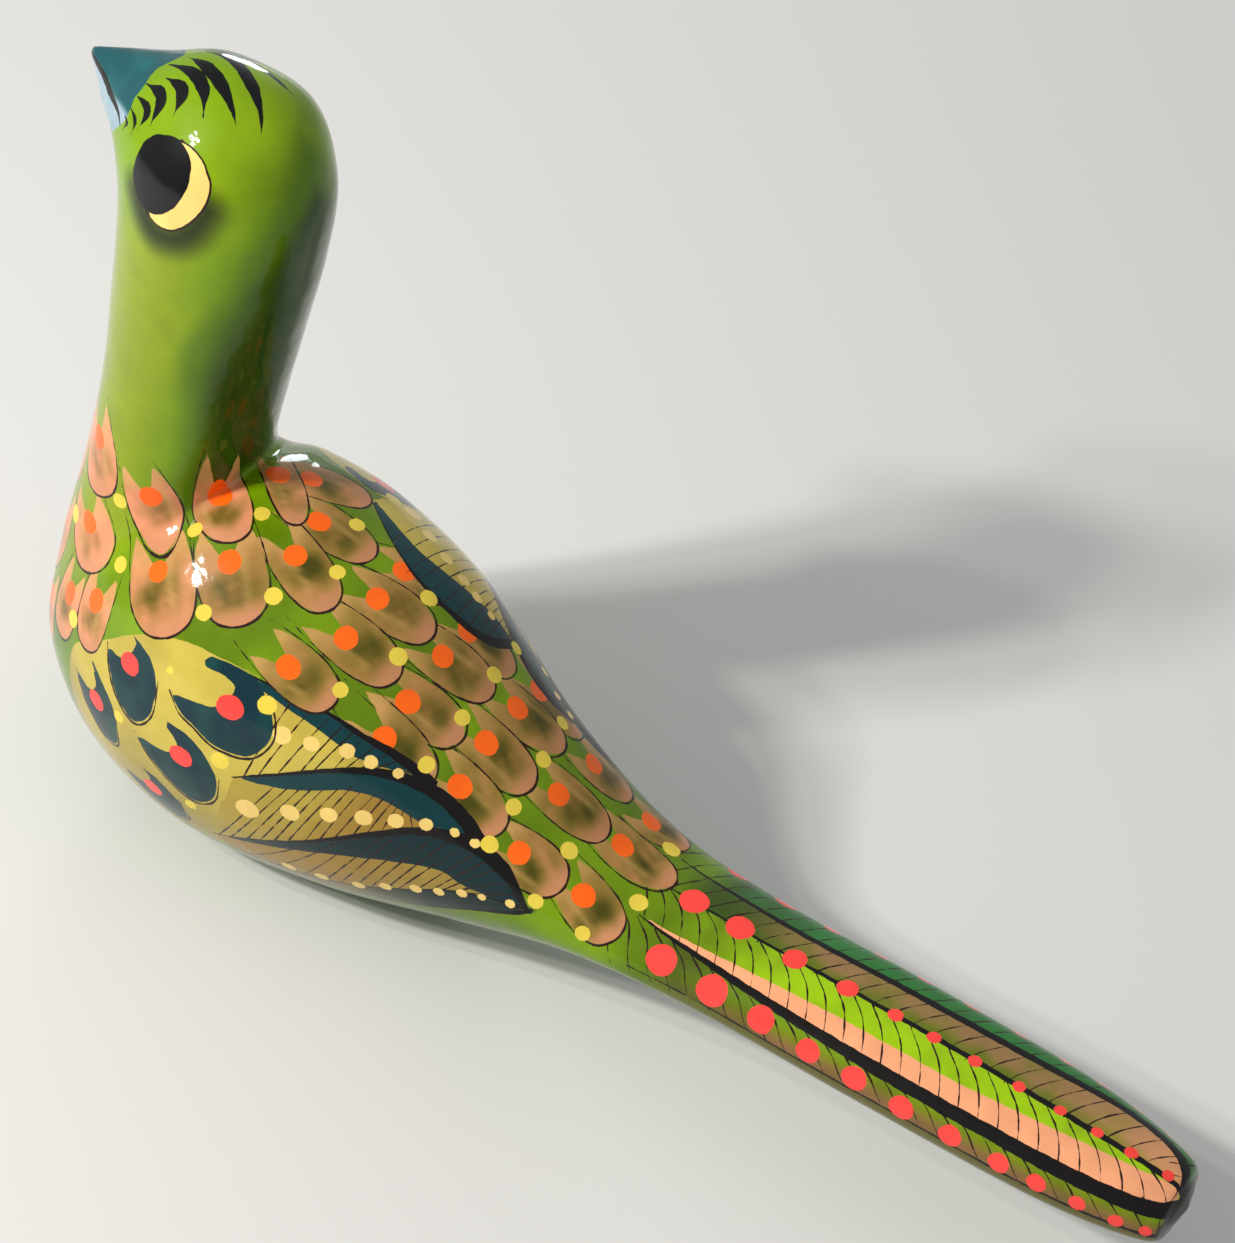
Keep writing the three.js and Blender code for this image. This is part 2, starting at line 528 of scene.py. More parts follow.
# Sprays of the tail: light above, dark towards the lower edge, and the colour at the root
CENTRE_SPRAY = (TAIL_GREEN, TAIL_GREEN, (104, 134, 6))
NEAR_SIDE_SPRAY = ((112, 148, 4), (134, 98, 56), (70, 84, 14))
FAR_SIDE_SPRAY = ((40, 118, 50), (36, 100, 52), (56, 92, 40))
NEAR_UNDER_SPRAY = ((98, 92, 36), (98, 92, 36), (96, 104, 30))
FAR_UNDER_SPRAY = ((48, 84, 44), (48, 84, 44), (60, 90, 30))
FAR_SHAFT_GREEN = (92, 116, 14)
FAR_ROOT_GREEN = (54, 78, 14)


def tail_station(y):
    """The station of a place along the tail."""
    stations = np.linspace(0.9, 7, 200)
    return float(np.interp(-y, -skin_at(stations, 0)[:, 1], stations))


def between(first, second, per_step=8):
    """The closed outline between two lines."""
    return np.vstack([smooth_line(first, per_step), smooth_line(second, per_step)[::-1]])


def tail_spray(light, dark, root):
    """A feather's colour by point, from one of the sprays, fading at the root into the rump."""
    def colour(ids):
        station, across = skin.station[ids], np.abs(skin.angle[ids])
        tint = mixed(light, dark, rise(across, 56, 88))
        tint = mixed(tint, root, 0.9 * rise(station, 4.4, 5.3) + 0.12 * brushwork.at(skin.points[ids]))
        return mixed(tint, green_ground[ids], rise(station, 5.15, 5.55))
    return colour


def far_half(ids):
    """The shaded half of the central feather: green by the shaft, tan outside, pink towards the tip."""
    station = skin.station[ids]
    outward = rise(4 - skin.angle[ids], 1, 12) + 0.15 * brushwork.at(skin.points[ids])
    tint = mixed(FAR_SHAFT_GREEN, TAN, outward)
    tint = mixed(tint, PINK, 0.8 * rise(-station, -3.4, -1.7))
    tint = mixed(tint, FAR_ROOT_GREEN, 0.95 * rise(station, 4.5, 5.2))
    return mixed(tint, green_ground[ids], rise(station, 5.3, 5.65))


def paint_tail_grounds():
    """The sprayed feathers of the tail, from the underside up to the pink stripe."""
    under = between(SIDE_EDGE, [(station, TAIL_UNDER_ANGLE) for station, _ in SIDE_EDGE])
    patch(under, tail_spray(*NEAR_UNDER_SPRAY))
    patch(mirrored(under), tail_spray(*FAR_UNDER_SPRAY))
    patch(between(NEAR_EDGE, SIDE_EDGE), tail_spray(*NEAR_SIDE_SPRAY))
    patch(between(FAR_EDGE, mirrored(SIDE_EDGE)), tail_spray(*FAR_SIDE_SPRAY))
    patch(between(SHAFT, NEAR_EDGE), tail_spray(*CENTRE_SPRAY))
    patch(between(SHAFT, FAR_EDGE), far_half)
    patch(between(PINK_EDGE, NEAR_EDGE), PINK)


def blacken_tip():
    """The black rim right round the tail's end."""
    pace = millimetres_per_station()
    ids = np.nonzero(skin.station < 3)[0]
    reach = 1.05 + 0.6 * rise(np.abs(skin.angle), 40, 90)
    edge = ((skin.station - reach) * pace)[ids]
    coat.fill(ids, edge, BLACK)


def angle_of(edge, station):
    """The angle at which an edge passes a station. Edges run from the root to the tip."""
    return float(np.interp(-station, [-row[0] for row in edge], [row[1] for row in edge]))


def tail_barb(y, steps, half_width):
    """One fine line of the tail's hatching, through (run along the tail, angle) steps from y."""
    last_y = TAIL_TIP_Y + 3
    rows = [(tail_station(min(y + run, last_y)), angle) for run, angle in steps]
    stroke(rows, [half_width, half_width, 0.09], INK)


def paint_barbs():
    """The tail's hatching, from the shaft out over the central feather and down the side feathers."""
    for y in np.arange(TAIL_ROOT_Y, TAIL_TIP_Y, BARB_SPACING):
        near = angle_of(NEAR_EDGE, tail_station(y + 5))
        far = angle_of(FAR_EDGE, tail_station(y + 3))
        tail_barb(y, [(0, 3), (4, near * 0.3), (6.4, near * 0.62), (7.8, near)], 0.15)
        tail_barb(y, [(0, 2), (2.6, far * 0.5), (4.6, far)], 0.13)
        tail_barb(y, [(-1, near), (2.6, near + 14), (5, 86)], 0.15)
        tail_barb(y, [(0, far), (2.5, far - 22), (5, -84)], 0.14)


def paint_tail_lines():
    paint_barbs()
    stroke(SHAFT, [0.15, 0.4, 0.6, 0.7, 0.6, 0.4], BLACK)
    for side in (SIDE_EDGE, mirrored(SIDE_EDGE)):
        stroke(side, [0.1, 0.25, 0.3, 0.5], BLACK)
    blacken_tip()
    stroke(NEAR_EDGE, [0.15, 0.8, 1.2, 1.35, 1.45, 1.5, 1.5], BLACK)
    stroke(FAR_EDGE, [0.15, 0.7, 0.9, 0.95, 1.0, 1.2, 1.6], BLACK)


def paint_tail():
    paint_tail_grounds()
    paint_tail_lines()
    for station, radius in SHAFT_DOTS:
        dot(station, 2, radius, CORAL)
    for station, angle, radius in SIDE_DOTS:
        dot(station, angle, radius, CORAL)
        dot(station, FAR_DOT_ANGLE, radius * 0.9, CORAL)


# Wings: three overlapping feathers, each with a teal band under a thick black edge

TOP_EDGE = [(8.78, 52), (8.4, 51), (8.06, 50), (7.84, 50), (7.6, 49), (7.43, 49), (7.3, 50)]
TOP_BAND = [(8.78, 53), (8.6, 54), (8.35, 55), (8.11, 56), (7.91, 57), (7.75, 57), (7.5, 53)]
MIDDLE_EDGE = [(8.53, 83), (8.17, 73), (7.87, 64), (7.65, 58), (7.45, 54), (7.22, 52), (7.03, 54),
               (6.87, 59)]
MIDDLE_BAND = [(8.53, 83), (8.23, 80), (7.99, 75), (7.77, 69), (7.56, 66), (7.42, 66), (7.25, 66),
               (6.98, 63)]
LOW_EDGE = [(8.64, 116), (8.35, 108), (8.06, 100), (7.77, 90), (7.51, 80), (7.25, 70), (7.01, 64),
            (6.79, 62), (6.6, 66), (6.42, 79)]
LOW_BAND = [(8.64, 116), (8.18, 107), (7.85, 100), (7.56, 94), (7.28, 88), (7.05, 84), (6.9, 86),
            (6.62, 86)]
DOT_LINE = [(8.5, 123), (7.9, 119), (7.59, 114), (7.27, 105), (6.97, 94), (6.75, 88), (6.53, 82),
            (6.42, 80)]
UNDER_EDGE = [(8.5, 126), (8.0, 127), (7.5, 123), (7.1, 114), (6.8, 102), (6.55, 91), (6.4, 80)]
FEATHER_DOTS = [
    [(8.33, 63, 1.9), (8.12, 61, 1.6), (7.88, 57, 1.5), (7.71, 56, 1.4), (7.52, 54, 1.1)],
    [(8.39, 93, 2.5), (8.1, 87, 2.0), (7.84, 81, 1.8), (7.62, 76, 1.8), (7.42, 71, 1.6), (7.23, 66, 1.3),
     (7.04, 62, 1.0), (6.89, 61, 1.0)],
    [(8.1, 119, 1.6), (7.86, 117, 1.5), (7.6, 114, 1.4), (7.41, 108, 1.3), (7.2, 102, 1.3), (7.04, 98, 1.2),
     (6.88, 92, 1.1), (6.74, 88, 0.9), (6.54, 82, 1.0)],
]

# The far wing's top feather, which shows over the back and lies a little differently
FAR_TOP_EDGE = [(9.0, -19), (8.59, -10), (8.26, -5), (7.97, -4.5), (7.7, -8), (7.55, -15), (7.48, -27)]
FAR_TOP_BAND = [(8.96, -20), (8.67, -17), (8.34, -15), (8.05, -18), (7.84, -22), (7.69, -26), (7.48, -28)]
FAR_TOP_DOTS = [(8.72, -32, 2.1), (8.45, -27, 1.7), (8.22, -24, 1.6), (8.01, -23, 1.5), (7.86, -23, 1.4),
                (7.71, -24, 1.1)]

# Each feather's light and dark colour, and the stations where the dark one is full and where it begins
TOP_FEATHER = (KHAKI, (180, 154, 60), 7.3, 8.6)
MIDDLE_FEATHER = ((176, 154, 60), OCHRE, 7.1, 8.7)
LOW_FEATHER = (OCHRE, (162, 134, 56), 6.7, 8.3)
UNDER_FEATHER = ((116, 98, 48), (20, 40, 40), 6.9, 8.0)

# Half widths of the black lines, in turn from the shoulder to the feather's tip
TOP_BRUSH = [0.15, 0.3, 0.6, 1.0, 1.2]
MIDDLE_BRUSH = [0.2, 0.4, 0.7, 1.0, 1.3, 1.5, 1.5]
LOW_BRUSH = [0.15, 0.2, 0.4, 0.7, 1.0, 1.5, 1.4, 0.5]
DOT_LINE_BRUSH = [0.12, 0.2, 0.25, 0.2]
UNDER_BRUSH = [0.15, 0.2, 0.3, 0.5]


def as_drawn(rows):
    """Rows of marks where they were drawn, on the near side."""
    return [tuple(row[:2]) for row in rows]


def far_side(forward, top):
    """Where the near side's marks lie on the far side, further forward and down from that top angle."""
    def place(rows):
        return [(row[0] + forward, top - 1.15 * (row[1] - 50)) for row in rows]
    return place


far_feathers = far_side(0.06, -25)
far_shoulder = far_side(0.4, -22)


class Wing:
    """The lines and dots of one wing's three feathers."""

    def __init__(self, place, top_edge, top_band, top_dots):
        self.top_edge, self.top_band = top_edge, top_band
        self.middle_edge, self.middle_band = place(MIDDLE_EDGE), place(MIDDLE_BAND)
        self.low_edge, self.low_band = place(LOW_EDGE), place(LOW_BAND)
        self.dot_line, self.under_edge = place(DOT_LINE), place(UNDER_EDGE)
        self.dots = list(top_dots)
        for row in FEATHER_DOTS[1:]:
            self.dots += [(*spot, radius) for spot, (_, _, radius) in zip(place(row), row)]


def hatching(lower, upper, count, lean):
    """Fine strokes from one line across to another, leaning towards the tail."""
    low, high = smooth_line(lower, 12), smooth_line(upper, 12)
    for place in np.linspace(0.03, 0.9, count):
        wavering = rng.uniform(-0.006, 0.006, 2)
        foot = low[int((place + wavering[0]) * (len(low) - 1))]
        head = high[int(min(place + lean + wavering[1], 1) * (len(high) - 1))]
        stroke([foot, foot * 0.45 + head * 0.55, head], [0.15, 0.15, 0.1], INK, 4)


def feather_ground(light, dark, low, high):
    """A feather's colour, sprayed darker towards the tail."""
    def colour(ids):
        shade = rise(-skin.station[ids], -high, -low) + 0.25 * airbrush.at(skin.points[ids])
        return mixed(light, dark, shade)
    return colour


def paint_wing(wing):
    """Feathers, teal bands, hatching, black lines and dots, one over the other."""
    patch(between(wing.top_edge, wing.middle_edge), feather_ground(*TOP_FEATHER))
    patch(between(wing.middle_edge, wing.low_edge), feather_ground(*MIDDLE_FEATHER))
    patch(between(wing.low_edge, wing.dot_line), feather_ground(*LOW_FEATHER))
    patch(between(wing.dot_line, wing.under_edge), feather_ground(*UNDER_FEATHER))
    patch(between(wing.top_edge, wing.top_band), BAND_TEAL)
    patch(between(wing.middle_edge, wing.middle_band), BAND_TEAL)
    patch(between(wing.low_edge, wing.low_band), LOW_BAND_TEAL)
    hatching(wing.middle_edge[:6], wing.top_edge, 14, 0.16)
    hatching(wing.low_edge[:8], wing.middle_band, 18, 0.1)
    hatching(wing.dot_line, wing.low_edge, 19, 0.3)
    stroke(wing.top_edge, TOP_BRUSH, BLACK)
    stroke(wing.middle_edge, MIDDLE_BRUSH, BLACK)
    stroke(wing.low_edge, LOW_BRUSH, BLACK)
    stroke(wing.dot_line, DOT_LINE_BRUSH, BLACK)
    stroke(wing.under_edge, UNDER_BRUSH, BLACK)
    for station, angle, radius in wing.dots:
        dot(station, angle, radius, CREAM)


# Shoulders: a khaki field of teal scales with long horns, each round a coral dot

SHOULDER = [(10.6, 98), (10.39, 83), (10.0, 67), (9.53, 57), (9.13, 53), (8.7, 52), (8.3, 60), (8.2, 90),
            (8.35, 116), (8.7, 124), (9.4, 124), (10.1, 118)]
TEAL_SCALES = [
    ((8.76, 63), 2.5, [(9.25, 70), (9.0, 67), (8.86, 65), (8.79, 58), (8.91, 56), (9.12, 57), (9.13, 54),
                       (8.9, 52), (8.7, 52), (8.56, 55), (8.44, 60), (8.39, 66), (8.44, 72), (8.53, 75),
                       (8.66, 76), (8.78, 76), (8.96, 74), (9.11, 73)]),
    ((9.82, 74), 2.2, [(10.18, 78), (9.98, 76), (9.9, 73), (9.88, 69), (10.0, 67), (9.67, 67), (9.46, 71),
                       (9.37, 79), (9.41, 85), (9.53, 88), (9.78, 86), (10.0, 82)]),
    ((8.97, 86), 2.3, [(9.4, 91), (9.1, 88), (9.03, 83), (9.22, 79), (8.98, 78), (8.79, 81), (8.65, 87),
                       (8.64, 95), (8.74, 100), (8.89, 100), (9.09, 97), (9.26, 94)]),
    ((9.96, 97), 2.1, [(10.35, 100), (10.1, 97), (10.05, 92), (10.28, 88), (9.93, 89), (9.7, 93),
                       (9.58, 103), (9.72, 107), (9.95, 105), (10.15, 103)]),
    ((9.16, 109), 2.1, [(9.45, 113), (9.22, 110), (9.2, 104), (9.4, 102), (9.14, 102), (8.92, 106),
                        (8.84, 113), (8.92, 118), (9.1, 118), (9.3, 116)]),
]
SHOULDER_SPOTS = [(8.52, 57, 1.9), (8.67, 80, 1.9), (9.65, 92, 1.4), (8.81, 104, 1.4), (9.4, 65, 0.9)]
LOW_KHAKI = (150, 134, 62)
LIGHT_TEAL = (20, 68, 64)
RIM_SPREAD = 1.06    # how much further out than its teal scale a rim's line runs


def closed_line(rows, per_step=6):
    """A smooth closed outline through rows."""
    rows = [tuple(row) for row in rows]
    line = smooth_line(rows[-2:] + rows + rows[:2], per_step)
    return line[2 * per_step:-per_step]


def shoulder_khaki(ids):
    low = rise(np.abs(skin.angle[ids]), 88, 122)
    return mixed(KHAKI, LOW_KHAKI, low + 0.2 * airbrush.at(skin.points[ids]))


def teal_lacquer(ids):
    return mixed(TEAL, LIGHT_TEAL, 0.3 + 0.35 * brushwork.at(skin.points[ids]))


def paint_shoulder_field(on):
    patch(closed_line(on(SHOULDER)), shoulder_khaki)


def paint_shoulder_scales(on):
    """The teal scales, each with a line round its tail half and a coral dot, and the yellow spots."""
    for centre, radius, outline in TEAL_SCALES:
        rows = np.array(on(outline))
        patch(closed_line(rows), teal_lacquer)
        middle = rows.mean(0)
        around = closed_line(middle + (rows - middle) * RIM_SPREAD)
        rim = around[len(around) // 2:]
        stroke(rim[::6], [0.1, 0.25, 0.3, 0.25, 0.1], INK)
        station, angle = on([centre])[0]
        dot(station, angle, radius, CORAL, 1.15)
    for (station, angle), (_, _, radius) in zip(on(SHOULDER_SPOTS), SHOULDER_SPOTS):
        dot(station, angle, radius, YELLOW)


# Scales of the body and breast, from the orange dot to the tip, in rows from the tail to the neck

LOWER_SCALES = [
    ((6.1, -33), (5.8, -47)), ((6.1, 1), (5.62, -2)), ((6.1, 46), (5.74, 61)),
    ((6.6, -26), (6.31, -38)), ((6.6, 10), (6.2, 3)), ((6.6, 51), (6.24, 49)),
    ((7.15, -23), (6.8, -35)), ((7.15, -3), (6.72, -14)), ((7.15, 21), (6.72, 19)),
    ((7.15, 44), (6.77, 48)),
    ((7.7, -6), (7.3, -17)), ((7.7, 10), (7.24, 1)), ((7.7, 31), (7.25, 27)), ((7.7, 46), (7.3, 51)),
    ((8.3, -3), (7.95, -12)),
]
UPPER_SCALES = [
    ((8.3, 12), (7.8, 7)), ((8.3, 28), (7.8, 28)), ((8.53, 44), (8.11, 47)),
    ((9.13, 3), (8.52, 1)), ((9.06, 17), (8.47, 24)), ((9.57, 31), (9.04, 42)), ((10.37, 49), (9.61, 58)),
    ((10.86, 79), (10.44, 90)), ((11.3, 100), (10.85, 108)),
    ((9.62, -9), (8.97, -18)), ((10.03, -3), (9.27, 9)), ((11.11, 19), (9.83, 25)),
    ((12.43, 67), (10.86, 47)), ((12.28, 103), (11.48, 89)), ((13.33, 120), (12.61, 103)),
]
BREAST_SCALES = [
    ((11.4, 126), (10.9, 129)), ((11.4, 153), (10.9, 153)), ((12.3, 138), (11.7, 138)),
    ((12.3, 163), (11.7, 163)), ((13.2, 150), (12.5, 150)),
]
MIDLINE_SCALES = [((11.4, 180), (10.9, 180)), ((13.2, 180), (12.5, 180))]
BREAST_FROM_STATION, BREAST_FROM_ANGLE = 10.3, 45

# Scales wider or narrower than the rest, by where they start on either side
SCALE_WIDTHS = {(9.57, 31): 1.33, (10.37, 49): 1.45, (12.28, 103): 1.35, (13.33, 120): 1.2,
                (10.03, 3): 0.7}

YELLOW_SPOTS = [
    (12.37, 121), (12.49, 85), (10.5, 32), (9.71, 13), (8.86, -5), (10.9, 95), (11.2, 67), (9.44, 46),
    (8.96, 30), (8.67, 13), (8.12, 42), (7.92, 22), (8.04, -2), (7.36, 21), (7.39, -4), (7.46, -27),
    (7.39, 45), (6.81, 4), (6.91, -24), (6.78, 34), (6.8, 57), (6.34, 29), (6.38, 70), (5.74, 26),
    (6.0, 73), (5.84, -26),
]
MIRRORED_SPOTS = YELLOW_SPOTS[:2] + YELLOW_SPOTS[5:7]

# One scale on its own board, in millimetres: x across and y aft, from its orange dot
SCALE_LENGTH = 10.9
SCALE_REACH = 17
ORANGE_DOT = 2.3
SCALE_RIM = [(-3.3, -7.2), (-4.5, -3.4), (-5.1, 1.0), (-4.9, 5.4), (-3.3, 9.3), (0, 10.9),
             (3.3, 9.3), (4.9, 5.4), (5.1, 1.0), (4.5, -3.4), (3.3, -7.2)]
SCALE_NOTCH = [(1.5, -2.6), (0.2, 0.6), (-1.5, -2.6)]
SCALE_OUTLINE = [(-3.6, -10.4), (-4.7, -4.6), (-5.25, 1.0), (-5.05, 5.6), (-3.45, 9.6), (0.1, 11.05),
                 (3.5, 9.5), (5.05, 5.6), (5.25, 1.0), (4.7, -4.4), (4.0, -8.6)]
OUTLINE_BRUSH = [0.05, 0.1, 0.15, 0.21, 0.24, 0.2, 0.15, 0.1, 0.05]
SCALE_TAN = (142, 116, 50)
SCALE_HORN = (202, 160, 94)
SCALE_TIP = (200, 136, 98)


def facing(start, end):
    """The turn that points a board's aft axis from start to end, and their distance."""
    board = Stamp(*start, 1)
    way = skin_at(*end) - board.centre
    turn = math.degrees(math.atan2(-(way @ board.side), way @ board.aft))
    return turn, float(np.linalg.norm(way))


def scale_colour(x, y, tan, blotch):
    """Salmon near the neck and tan further back, with a soft olive spray over the middle."""
    drift = rng.uniform(-1.0, 1.0)
    away = np.hypot((x - drift) / 4.6, (y - rng.uniform(3.4, 4.8)) / 4.4)
    spray = 1 - rise(away, 0.1, 1.25)
    streak = np.exp(-((x - drift - rng.choice([-2.2, 2.2])) / 0.7) ** 2) * rise(y, -5, 1)
    colour = mixed(SALMON, SCALE_TAN, tan * 0.85 + 0.2 * blotch)
    colour = mixed(colour, SCALE_HORN, 0.7 * rise(-y, 0, 5))
    depth = rng.uniform(0.9, 1.05) * (0.5 + 0.5 * tan)
    colour = mixed(colour, OLIVE, spray * depth * (0.8 + 0.35 * blotch))
    colour = mixed(colour, SCALE_HORN, 0.5 * streak * (1 - rise(y, 5, 9)))
    return mixed(colour, SCALE_TIP, 0.85 * rise(y, 6.4, 9.8))


def paint_scale(start, end):
    """A scale with its dot at start and its tip at end, and a fine line that has slipped a little."""
    turn, length = facing(start, end)
    width = SCALE_WIDTHS.get((start[0], abs(start[1])), 1)
    size = np.array([width, np.clip(length / SCALE_LENGTH, 0.85, 1.15)])
    board = Stamp(*start, SCALE_REACH, turn)
    rim = np.vstack([smooth_line(SCALE_RIM, 6), SCALE_NOTCH]) * size
    x, y = (board.flat / size).T
    points = skin.points[board.ids]
    blotch = 0.6 * brushwork.at(points) + 0.35 * smears.at(points)
    board.fill(rim, scale_colour(x, y, rise(-start[0], -12, -8.5), blotch))
    slip = rng.uniform(-0.25, 0.25, 2)
    board.line(smooth_line(SCALE_OUTLINE, 6) * size + slip, OUTLINE_BRUSH, INK)
    board.disc(ORANGE_DOT, ORANGE, at=rng.uniform(-0.3, 0.3, 2), stretch=rng.uniform(0.95, 1.12))


def paint_spots():
    for station, angle in YELLOW_SPOTS:
        dot(station, angle, rng.uniform(1.5, 1.9), YELLOW)
    for station, angle in MIRRORED_SPOTS:
        dot(station, -angle, rng.uniform(1.5, 1.9), YELLOW)


# Head: teal beak, lashes over the brow, and a black eye with a cream crescent on each side

BEAK_EDGE = [(0, 18.6), (31, 18.72), (46, 18.64), (66, 18.44), (77, 18.34), (100, 17.95), (130, 17.75),
             (180, 17.7)]
MOUTH = [(20.9, 92), (20.3, 92), (19.62, 92), (18.81, 98), (18.21, 104), (18.0, 107)]
EYE = [(17.51, 76), (17.38, 67), (17.18, 65), (16.95, 66), (16.63, 73), (16.41, 82), (16.32, 92),
       (16.38, 101), (16.64, 107), (17.02, 106), (17.37, 95), (17.51, 84)]
CRESCENT = [(17.32, 65), (17.07, 60), (16.74, 59), (16.5, 62), (16.26, 71), (16.13, 82), (16.17, 91),
            (16.28, 97)]
LASHES = [
    ([(18.0, 98), (17.88, 99), (17.82, 104)], 0.35),
    ([(18.07, 88), (17.85, 90), (17.69, 97)], 0.5),
    ([(18.31, 74), (17.95, 75), (17.73, 88)], 0.8),
    ([(18.46, 57), (18.05, 59), (17.73, 77)], 1.15),
    ([(18.29, 42), (17.97, 43), (17.73, 58)], 1.2),
    ([(18.6, 22), (18.12, 25), (17.84, 31), (17.57, 43)], 1.25),
    ([(18.45, 5), (18.08, 12), (17.76, 19), (17.32, 31)], 1.3),
    ([(18.31, -15), (17.88, -10), (17.56, 3), (17.11, 21)], 1.25),
    ([(17.75, -27), (17.54, -22), (17.26, -18)], 0.6),
]
CRESCENT_BACK = [(16.6, 95), (17.0, 80), (17.25, 68)]
MIRRORED_LASHES = 6    # how many of the lashes the far brow has too


def paint_beak():
    """Teal above and pale blue below, with the mouth's line between them."""
    across = np.abs(skin.angle)
    edge_station = np.interp(across, *zip(*BEAK_EDGE))
    pace = millimetres_per_station()
    ids = np.nonzero(skin.station > 17)[0]
    edge = ((edge_station - skin.station) * pace)[ids]
    beak = mixed(BEAK_TEAL, PALE_BLUE, rise(across[ids], 90, 99))
    mottled = mixed(beak, BEAK_LIGHT, 0.15 * brushwork.at(skin.points[ids]))
    coat.fill(ids, edge, mottled)
    for side in (MOUTH, mirrored(MOUTH)):
        stroke(side, [0.5, 0.6, 0.7, 0.5, 0.2], BLACK)


def paint_eye(on):
    """A cream crescent with a fine rim, and the black oval over its front."""
    cream = np.vstack([smooth_line(on(CRESCENT), 6), on(CRESCENT_BACK)])
    stroke(on(CRESCENT), [0.3, 0.4, 0.45, 0.4, 0.3], INK)
    patch(cream, CREAM)
    patch(closed_line(on(EYE)), EYE_BLACK)


def paint_head():
    paint_beak()
    for on in (as_drawn, mirrored):
        paint_eye(on)
    lashes = LASHES + [(mirrored(line), half) for line, half in LASHES[:MIRRORED_LASHES]]
    for line, half in lashes:
        stroke(line, [0.08, half, half, 0.08], EYE_BLACK)


def paint_scales(rows):
    for start, end in rows:
        paint_scale(start, end)


def far_breast(rows):
    """The scales of the far breast and neck, which repeat the near ones."""
    return [tuple(mirrored(row)) for row in rows
            if row[0][0] > BREAST_FROM_STATION and row[0][1] > BREAST_FROM_ANGLE]


def paint_bird():
    """Every coat in the order that it is painted: what lies underneath comes first."""
    paint_ground()
    paint_tail()
    paint_scales(LOWER_SCALES)
    paint_shoulder_field(far_shoulder)
    paint_wing(Wing(far_feathers, FAR_TOP_EDGE, FAR_TOP_BAND, FAR_TOP_DOTS))
    paint_shoulder_scales(far_shoulder)
    paint_shoulder_field(as_drawn)
    paint_wing(Wing(as_drawn, TOP_EDGE, TOP_BAND, FEATHER_DOTS[0]))
    paint_shoulder_scales(as_drawn)
    paint_scales(BREAST_SCALES + far_breast(UPPER_SCALES + BREAST_SCALES) + MIDLINE_SCALES)
    paint_scales(UPPER_SCALES)
    paint_spots()
    paint_head()


paint_bird()


# The bird's mesh

def within_box(points):
    """The points drawn in, axis by axis, to the box of the solid that they stand for."""
    low, high = np.array(cad_box, float)
    first, last = points.min(0), points.max(0)
    inner_low, inner_high = np.maximum(first, low), np.minimum(last, high)
    return inner_low + (points - first) * (inner_high - inner_low) / (last - first)


def make_bird():
    """The painted skin as one mesh, flat where it sits and closed by a fan at each end."""
    points = skin.points.copy()
    points[:, 2] = np.maximum(points[:, 2], 0)
    rings = points.reshape(ROWS_ALONG, SIDES_AROUND, 3)
    ends = np.stack([rings[0].mean(0), rings[-1].mean(0)])
    places = within_box(np.vstack([points, ends]) * MM)
    tail_end, beak_tip = len(points), len(points) + 1
    side = np.arange(SIDES_AROUND)
    beside = (side + 1) % SIDES_AROUND
    last_ring = len(points) - SIDES_AROUND
    caps = [(tail_end, b, a) for a, b in zip(side, beside)]
    caps += [(beak_tip, last_ring + a, last_ring + b) for a, b in zip(side, beside)]
    mesh = bpy.data.meshes.new("painted_bird")
    faces = skin.quads.tolist() + np.array(caps).tolist()
    mesh.from_pydata(places.tolist(), [], faces)
    mesh.shade_smooth()
    store_coat(mesh, 2 * SIDES_AROUND)
    bird = bpy.data.objects.new("painted_bird", mesh)
    bpy.context.scene.collection.objects.link(bird)
    return bird


def store_coat(mesh, cap_faces):
    """Write the ground and the marks to the mesh's corners. The small end caps are plain."""
    cap_colour = np.repeat([linear(BLACK), linear(BEAK_TEAL)], cap_faces // 2 * 3, axis=0)
    ground = np.vstack([coat.ground.reshape(-1, 3), cap_colour])
    write_colours(mesh, "ground", ground)
    no_colour = np.zeros((cap_faces * 3, 3))
    for k in range(Coat.SLOTS):
        write_colours(mesh, f"mark{k}", np.vstack([coat.colour[k].reshape(-1, 3), no_colour]))
        edge = coat.edge[k].reshape(-1, 2)
        edge = np.hstack([edge, np.zeros((len(edge), 1))])
        hidden = np.full((cap_faces * 3, 3), Coat.CLEAR)
        layer = mesh.attributes.new(f"edge{k}", "FLOAT_VECTOR", "CORNER")
        layer.data.foreach_set("vector", np.vstack([edge, hidden]).astype(np.float32).ravel())


def write_colours(mesh, name, colours):
    layer = mesh.attributes.new(name, "FLOAT_COLOR", "CORNER")
    four = np.hstack([colours, np.ones((len(colours), 1))]).astype(np.float32)
    layer.data.foreach_set("color", four.ravel())


# Material: the painted coat under a clear, slightly uneven varnish

